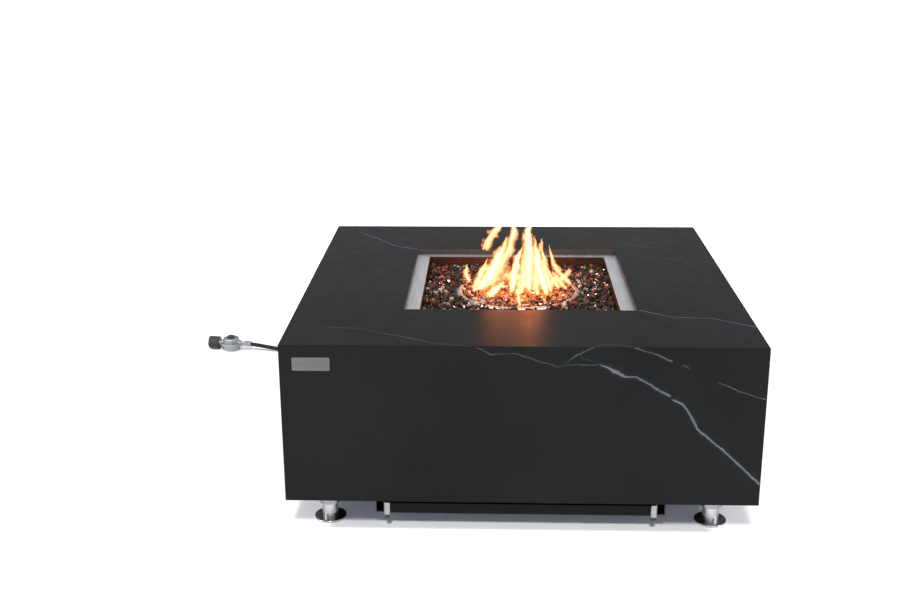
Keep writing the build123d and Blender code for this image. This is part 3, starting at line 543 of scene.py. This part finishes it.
def rounded_plate():
    """The name plate with rounded corners and a rolled front edge."""
    low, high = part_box("name_plate")
    corners = (high.x, high.z), (low.x, high.z), (low.x, low.z), (high.x, low.z)
    radius, roll = 0.0035, 0.0004
    work = bmesh.new()
    rings = []
    for y, shrink in ((high.y, 0.0), (low.y + roll, 0.0), (low.y, roll)):
        ring = []
        for corner, (x, z) in enumerate(corners):
            cx = x + (-radius if corner in (0, 3) else radius)
            cz = z + (-radius if corner in (0, 1) else radius)
            for step in range(7):
                turn = math.radians(90 * corner + 15 * step)
                ring.append(work.verts.new((cx + (radius - shrink) * math.cos(turn), y,
                                            cz + (radius - shrink) * math.sin(turn))))
        rings.append(ring)
    for near, far in zip(rings, rings[1:]):
        for i in range(len(near)):
            after = (i + 1) % len(near)
            work.faces.new((near[i], far[i], far[after], near[after]))
    work.faces.new(rings[0])
    work.faces.new(list(reversed(rings[-1])))
    bmesh.ops.recalc_face_normals(work, faces=work.faces)
    mesh = bpy.data.meshes.new("plate")
    work.to_mesh(mesh)
    work.free()
    return mesh


place("plate_rounded", rounded_plate(), PLATE, "table", "stainless", "name_plate")

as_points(hose_line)


# Burner ring with its row of flame ports

def ported_ring():
    """The ring as a torus, with a small pit for every flame port."""
    around, about = 240, 24
    work = bmesh.new()
    grid = []
    for i in range(around):
        turn = 2 * math.pi * i / around
        ring = []
        for j in range(about):
            roll = 2 * math.pi * (j + 0.5) / about
            radius = RING_RADIUS + RING_TUBE * math.cos(roll)
            height = RING_Z + RING_TUBE * math.sin(roll)
            ring.append(work.verts.new((radius * math.cos(turn), radius * math.sin(turn), height)))
        grid.append(ring)
    ports = []
    for i in range(around):
        near, far = grid[i], grid[(i + 1) % around]
        for j in range(about):
            after = (j + 1) % about
            face = work.faces.new((near[j], far[j], far[after], near[after]))
            if i % 6 == 0 and j in (7, 16):
                ports.append(face)
    bmesh.ops.inset_individual(work, faces=ports, thickness=0.0003, depth=-0.0016)
    mesh = bpy.data.meshes.new("ring")
    bmesh.ops.recalc_face_normals(work, faces=work.faces)
    work.to_mesh(mesh)
    work.free()
    return mesh


place("ported_ring", ported_ring(), SOOTED, "table", "stainless", "burner_ring")


# ---------------------------------------------------------------- fire glass

def chip_shapes(rng, count):
    """Hulls of a few corners of a rough block, as broken tempered glass has."""
    shapes = []
    for _ in range(count):
        work = bmesh.new()
        size = Vector((rng.uniform(0.8, 1.25), rng.uniform(0.7, 1.1), rng.uniform(0.5, 0.85)))
        for corner in range(8):
            signs = Vector((1 if corner & 1 else -1, 1 if corner & 2 else -1, 1 if corner & 4 else -1))
            shift = Vector((rng.uniform(0.55, 1.1), rng.uniform(0.55, 1.1), rng.uniform(0.55, 1.1)))
            work.verts.new(Vector((signs[i] * shift[i] * size[i] for i in range(3))))
        for _ in range(3):
            spot = Vector((rng.gauss(0, 1), rng.gauss(0, 1), rng.gauss(0, 1))).normalized()
            work.verts.new(Vector((spot[i] * size[i] * 1.15 for i in range(3))))
        hull = bmesh.ops.convex_hull(work, input=work.verts)
        loose = [item for item in hull["geom_interior"] if isinstance(item, bmesh.types.BMVert)]
        bmesh.ops.delete(work, geom=loose, context="VERTS")
        work.verts.index_update()
        points = [vert.co.copy() for vert in work.verts]
        faces = [[vert.index for vert in face.verts] for face in work.faces]
        shapes.append((points, faces))
        work.free()
    return shapes


SWELL, HEAP = 0.0035, 0.0035        # unevenness of the glass, and its heap in the middle
BANK = 0.022                        # width of the bank of glass along the ring
WALL_RISE = 0.0065                  # how much higher the glass lies along the pan's walls
BURIED = 0.03                       # the ring is buried behind this y


def bed_height(x, y):
    """Level of the loose glass: uneven, heaped in the middle, and banked along the ring and the walls."""
    away = math.hypot(x, y)
    swell = noise.noise(Vector((x * 11, y * 11, 3.7))) * SWELL
    heap = HEAP * max(0.0, 1 - away / RING_RADIUS)
    lift = 0.0100 if y > BURIED else 0.0052 - 0.018 * min(y, 0.0)
    bank = lift * math.exp(-((away - RING_RADIUS) / BANK) ** 2)
    wall = max(0.0, max(abs(x), abs(y)) / GLASS_HIGH.x - 0.80) * 5
    return GLASS_HIGH.z - 0.0015 + swell + heap + bank + WALL_RISE * min(1.0, wall)


def chip_places(rng):
    """Evenly scattered places in the pan, in two loose layers that leave the front of the ring bare."""
    reach = GLASS_HIGH.x - 0.0035
    for layer, pitch, sink in ((0, 0.0100, 0.0056), (1, 0.0096, 0.0000)):
        count = int(2 * reach / pitch)
        for row in range(count):
            for column in range(count):
                x = -reach + (column + 0.5 + rng.uniform(-0.5, 0.5)) * 2 * reach / count
                y = -reach + (row + 0.5 + rng.uniform(-0.5, 0.5)) * 2 * reach / count
                away = math.hypot(x, y)
                front = max(0.0, -y / RING_RADIUS)
                bare = RING_TUBE * (1.05 - 0.60 * front if layer else 1.1)
                if abs(away - RING_RADIUS) < bare and (y < BURIED + 0.015 or not layer):
                    continue
                if layer and rng.random() < 0.12:
                    continue
                yield x, y, bed_height(x, y) - sink + rng.uniform(-0.0015, 0.0022)


# Kinds of glass, with their shares of the chips
GLASS_KINDS = (("amber", 0.13), ("bronze", 0.38), ("black", 0.38), ("red", 0.06), ("clear", 0.05))


CHIP_SIZES = (0.0030, 0.0038, 0.0046, 0.0054, 0.0062)


def glass_chips():
    """One mesh of loose chips for each kind of glass."""
    rng = random.Random(11)
    shapes = chip_shapes(rng, 24)
    batches = {kind: ([], []) for kind, _ in GLASS_KINDS}
    kinds, shares = zip(*GLASS_KINDS)
    for x, y, z in chip_places(rng):
        points, faces = shapes[rng.randrange(len(shapes))]
        size = rng.choice(CHIP_SIZES)
        turn = Euler([rng.uniform(0, 2 * math.pi) for _ in range(3)]).to_matrix() * size
        kind = rng.choices(kinds, shares)[0]
        if kind == "black" and math.hypot(x, y) < RING_RADIUS:
            kind = "amber"
        spots, polygons = batches[kind]
        first = len(spots)
        centre = Vector((x, y, z))
        wall = GLASS_HIGH.x + 0.0002
        for point in points:
            spot = turn @ point + centre
            spots.append((max(-wall, min(wall, spot.x)), max(-wall, min(wall, spot.y)), spot.z))
        polygons.extend([first + index for index in face] for face in faces)
    meshes = {}
    for kind, (spots, polygons) in batches.items():
        mesh = bpy.data.meshes.new("chips_" + kind)
        mesh.from_pydata(spots, [], polygons)
        meshes[kind] = mesh
    return meshes


def chip_glass(name, dark, light, transmission, roughness):
    """Glass whose tone differs from chip to chip."""
    paint = Paint(name, IOR=1.5, Roughness=roughness, Specular_IOR_Level=0.34)
    island = paint.add("ShaderNodeNewGeometry").outputs["Random Per Island"]
    cloud = paint.noise(140.0, 3.0)
    tone = paint.math("ADD", paint.math("MULTIPLY", island, 0.8), paint.math("MULTIPLY", cloud, 0.3))
    paint.set(Base_Color=paint.mix(paint.spread(tone, 0.15, 0.95), dark, light),
              Transmission_Weight=transmission,
              Roughness=paint.spread(cloud, 0.3, 0.7, roughness, roughness + 0.08))
    paint.bump(paint.noise(330.0, 2.0), 0.0003)
    return paint.material


# Each glass: darkest and lightest tone, share of light let through, roughness
CHIP_TONES = {"amber": ((0.045, 0.016, 0.008), (0.29, 0.130, 0.064), 0.35, 0.05),
              "bronze": ((0.010, 0.0065, 0.0040), (0.064, 0.040, 0.026), 0.25, 0.05),
              "black": ((0.003, 0.0032, 0.0025), (0.020, 0.019, 0.014), 0.0, 0.03),
              "red": ((0.090, 0.016, 0.014), (0.34, 0.090, 0.085), 0.3, 0.05),
              "clear": ((0.40, 0.32, 0.27), (0.80, 0.75, 0.70), 0.6, 0.04)}
CHIP_GLASS = {kind: chip_glass("glass_" + kind, *tones) for kind, tones in CHIP_TONES.items()}
GLASS_BED = plain("glass_bed", (0.010, 0.006, 0.004), (0.060, 0.032, 0.020), (0.12, 0.35), grain=130.0,
                  bump=0.002)


def glass_bed():
    """The closed mass of glass under the loose top chips."""
    steps = 60
    reach = GLASS_HIGH.x - 0.0004
    work = bmesh.new()
    grid = []
    for i in range(steps + 1):
        row = []
        for j in range(steps + 1):
            x, y = -reach + 2 * reach * i / steps, -reach + 2 * reach * j / steps
            near = max(0.0, 1 - abs(math.hypot(x, y) - RING_RADIUS) / (2.2 * RING_TUBE))
            row.append(work.verts.new((x, y, bed_height(x, y) - 0.008 - 0.010 * near)))
        grid.append(row)
    for i in range(steps):
        for j in range(steps):
            work.faces.new((grid[i][j], grid[i + 1][j], grid[i + 1][j + 1], grid[i][j + 1]))
    rim = [edge for edge in work.edges if edge.is_boundary]
    sides = bmesh.ops.extrude_edge_only(work, edges=rim)["geom"]
    low = [item for item in sides if isinstance(item, bmesh.types.BMVert)]
    for vert in low:
        vert.co.z = GLASS_LOW.z
    floor = [edge for edge in work.edges if edge.is_boundary]
    bmesh.ops.contextual_create(work, geom=floor)
    bmesh.ops.recalc_face_normals(work, faces=work.faces)
    mesh = bpy.data.meshes.new("bed")
    work.to_mesh(mesh)
    work.free()
    return mesh


place("glass_bed", glass_bed(), GLASS_BED, "table", "fire_glass", "fire_glass")
for kind, mesh in glass_chips().items():
    place("glass_" + kind, mesh, CHIP_GLASS[kind], "table", "fire_glass", "fire_glass", smooth=10)


# ---------------------------------------------------------------- flames, on the stage only

# Each tongue in millimetres: glow, foot x and y, foot above the glass, tip x, tip above the glass,
# sway to the right at half its height, half its width
TONGUES = [
    (0.9, -125, 70, 5, -130, 60, -9, 8),
    (1.0, -116, 8, 5, -80, 90, 0, 10),
    (1.3, -103, -5, 5, -30, 150, 8, 21),
    (0.9, -68, 0, 40, -16, 216, 22, 15),
    (0.75, -83, 0, 110, -24, 198, -14, 13),
    (1.4, -75, -56, 5, -38, 42, 0, 12),
    (0.9, -118, 0, 5, -47, 38, 4, 7),
    (1.4, -17, -22, 5, 8, 128, -4, 15),
    (0.9, 3, -147, 5, 0, 77, -3, 6),
    (1.2, 29, -30, 5, 26, 235, -4, 18),
    (1.4, 74, -49, 5, 38, 153, -4, 17),
    (1.0, 87, -24, 5, 60, 132, -5, 11),
    (0.9, 108, 12, 5, 69, 70, 0, 8),
    (0.8, 144, 42, 5, 83, 120, -18, 8),
    (0.8, 104, 26, 25, 135, 61, 8, 8),
    (0.6, 54, 0, 108, 62, 145, 0, 6),
    (0.5, 20, -10, 13, 30, 126, 0, 44),
    (0.6, -80, 15, 10, -30, 105, 0, 34),
    (0.9, 6, -40, 7, 12, 101, 2, 12),
    (0.9, 50, -52, 6, 44, 93, -3, 11),
    (0.8, 128, 10, 5, 84, 57, 0, 9),
    (0.6, -90, 0, 113, -73, 153, -4, 6),
]


def flame_paint():
    """Glowing gas, which adds its light to what is seen through it."""
    paint = Paint("flame", bare=True)

    def attribute(name):
        return paint.add("ShaderNodeAttribute", attribute_name=name).outputs["Fac"]

    chart = paint.add("ShaderNodeTexCoord").outputs["UV"]
    streaks = paint.add("ShaderNodeVectorMath", {0: chart, 1: (9.0, 3.0, 1.0)}, operation="MULTIPLY")
    streak = paint.math("SUBTRACT", paint.noise(1.0, 4.0, streaks.outputs[0], 0.62), 0.5)
    ragged = paint.math("ADD", attribute("side"), paint.math("MULTIPLY", streak, 2.2))
    body = paint.spread(ragged, 0.02, 0.42, 0.0, 1.0, "SMOOTHSTEP")
    along = attribute("along")
    body = paint.math("MULTIPLY", body, paint.spread(along, 0.0, 0.12, 0.0, 1.0, "SMOOTHSTEP"))
    body = paint.math("MULTIPLY", body, paint.spread(along, 0.65, 1.0, 1.0, 0.25))
    glossy = paint.add("ShaderNodeLightPath").outputs["Is Glossy Ray"]
    colour = paint.mix(paint.spread(ragged, 0.15, 0.75), (1.0, 0.27, 0.055), (1.0, 0.43, 0.20))
    # Painted reflection: in glossy rays the flame turns redder and shines 2.5 times as bright, which
    # strengthens its reflection in the stone.
    colour = paint.mix(glossy, colour, (1.0, 0.27, 0.09))
    heart = paint.math("MULTIPLY_ADD", paint.spread(ragged, 0.30, 0.80), 1.1, 1.0)
    strength = paint.math("MULTIPLY", paint.math("MULTIPLY", body, heart), attribute("glow"))
    strength = paint.math("MULTIPLY", strength, paint.math("MULTIPLY_ADD", glossy, 1.5, 1.0))
    glow = paint.add("ShaderNodeEmission", {"Color": colour, "Strength": strength})
    low = paint.spread(paint.axes()[2], TOP + 0.094, TOP + 0.139, 1.0, 0.0)
    veil = paint.math("MULTIPLY", paint.math("MULTIPLY", body, low), 0.42)
    seen = paint.mix(veil, (1.0, 1.0, 1.0), (0.0, 0.0, 0.0))
    clear = paint.add("ShaderNodeBsdfTransparent", {"Color": seen})
    both = paint.add("ShaderNodeAddShader", {0: clear.outputs[0], 1: glow.outputs[0]})
    paint.add("ShaderNodeOutputMaterial", {0: both.outputs[0]})
    return paint.material


FLAME = flame_paint()


def flame_line(index, foot_x, foot_y, lift, tip_x, rise, sway, half, steps):
    """The middle line of a tongue and half its width, which is greatest a little below its middle."""
    line = []
    for step in range(steps + 1):
        run = step / steps
        stray = 6 * run * noise.noise(Vector((step * 0.24, index * 3.3, 0.5)))
        x = foot_x + (tip_x - foot_x) * run + sway * math.sin(math.pi * run) + stray
        y = foot_y * (1 - 0.2 * run)
        z = lift + (rise - lift) * run
        swell = math.sin(math.pi * (0.12 + 0.86 * run ** 0.8))
        line.append((x / 1000, y / 1000, GLASS_HIGH.z + z / 1000, half * swell / 1000))
    return line


def flame_tongue(index, glow, *shape, high=30, wide=8):
    """Three crossed ribbons along one line."""
    line = flame_line(index, *shape, high)
    spots, charts, sides, runs, polygons = [], [], [], [], []
    for ribbon in range(3):
        first, length = len(spots), 0.0
        for j, (x, y, z, half) in enumerate(line):
            half *= 1.22 + 0.7 * noise.noise(Vector((j * 0.32, index * 5.1, ribbon * 1.7)))
            here, ahead = Vector((x, y, z)), Vector(line[min(j + 1, high)][:3])
            behind = Vector(line[max(j - 1, 0)][:3])
            rise = (ahead - behind).normalized()
            across = rise.cross(Vector((0, 1, 0))).normalized()
            turn = math.radians(60 * ribbon)
            across = across * math.cos(turn) + rise.cross(across) * math.sin(turn)
            length += (here - behind).length
            for i in range(wide + 1):
                shift = 2 * i / wide - 1
                spots.append(here + across * shift * half)
                charts.append((shift * half * 10 + index * 7.3 + ribbon * 2.1, length * 10))
                sides.append(1 - abs(shift))
                runs.append(j / high)
        row = wide + 1
        polygons.extend((first + j * row + i, first + j * row + i + 1, first + (j + 1) * row + i + 1,
                         first + (j + 1) * row + i) for j in range(high) for i in range(wide))
    name = f"flame_{index}"
    mesh = bpy.data.meshes.new(name)
    mesh.from_pydata(spots, [], polygons)
    layer = mesh.uv_layers.new(name="chart")
    for loop in mesh.loops:
        layer.data[loop.index].uv = charts[loop.vertex_index]
    for key, values in (("side", sides), ("along", runs), ("glow", [glow] * len(spots))):
        mesh.attributes.new(key, "FLOAT", "POINT").data.foreach_set("value", values)
    mesh.materials.append(FLAME)
    piece = bpy.data.objects.new(name, mesh)
    bpy.context.scene.collection.objects.link(piece)
    piece.visible_diffuse = False
    piece.visible_shadow = False
    return piece


[flame_tongue(index, *tongue) for index, tongue in enumerate(TONGUES)]


FIRE_COLOUR = (1.0, 0.38, 0.15)
FIRE_REACH = 0.082                  # middle of the fire to the ring of six lights


def fire_light(name, spot, power, radius):
    """A light that stands for part of the fire, above the glass."""
    data = bpy.data.lights.new(name, "POINT")
    data.energy = power
    data.color = FIRE_COLOUR
    data.shadow_soft_size = radius
    light = bpy.data.objects.new(name, data)
    light.location = spot
    light.visible_camera = False
    light.visible_glossy = False
    bpy.context.scene.collection.objects.link(light)


fire_light("fire_middle", (0.0, -0.005, GLASS_HIGH.z + 0.036), 1.8, 0.018)
for index in range(6):
    turn = math.radians(60 * index + 30)
    spot = (FIRE_REACH * math.cos(turn), FIRE_REACH * math.sin(turn), GLASS_HIGH.z + 0.026)
    fire_light(f"fire_{index}", spot, 0.95, 0.012)
fire_light("fire_high", (0.0, 0.020, GLASS_HIGH.z + 0.110), 1.6, 0.035)


# ---------------------------------------------------------------- floor and light

def add_floor():
    """A pale floor with a faint glow of its own, which lifts the shadow under the table."""
    paint = Paint("floor_white", Specular_IOR_Level=0.0)
    tone = paint.noise(0.8, 3.0)
    paint.set(Base_Color=paint.mix(paint.spread(tone, 0.3, 0.7), (0.86, 0.86, 0.87), (0.90, 0.90, 0.90)),
              Roughness=0.9, Emission_Color=(0.76, 0.80, 1.0), Emission_Strength=0.085)
    mesh = bpy.data.meshes.new("floor")
    far = 60.0
    mesh.from_pydata([(-far, -far, 0), (far, -far, 0), (far, far, 0), (-far, far, 0)], [], [(0, 1, 2, 3)])
    mesh.materials.append(paint.material)
    floor = bpy.data.objects.new("floor", mesh)
    bpy.context.scene.collection.objects.link(floor)


def add_sun(name, strength, size, towards, colour=(1, 1, 1)):
    data = bpy.data.lights.new(name, "SUN")
    data.energy = strength
    data.angle = math.radians(size)
    data.color = colour
    light = bpy.data.objects.new(name, data)
    light.rotation_euler = Vector(towards).to_track_quat("-Z", "Y").to_euler()
    bpy.context.scene.collection.objects.link(light)


add_floor()
add_sun("key", 2.2, 8.0, (0.05, 0.84, -1.0), (1.0, 0.99, 0.98))
add_sun("from_left", 1.9, 7.0, (1.1, 0.35, -1.0))
add_sun("from_right", 1.9, 7.0, (-1.1, 0.35, -1.0))


def add_world():
    """Even studio light, with a paler backdrop than the light it gives."""
    world = bpy.data.worlds.new("studio")
    world.use_nodes = True
    nodes, links = world.node_tree.nodes, world.node_tree.links
    paths, strength = nodes.new("ShaderNodeLightPath"), nodes.new("ShaderNodeMapRange")
    strength.inputs["To Min"].default_value = 0.45
    strength.inputs["To Max"].default_value = 0.85
    links.new(paths.outputs["Is Camera Ray"], strength.inputs["Value"])
    links.new(strength.outputs[0], nodes["Background"].inputs["Strength"])
    nodes["Background"].inputs["Color"].default_value = (0.93, 0.96, 1.0, 1.0)
    bpy.context.scene.world = world


add_world()
bpy.context.scene.view_settings.view_transform = "Standard"
bpy.context.scene.cycles.transparent_max_bounces = 48
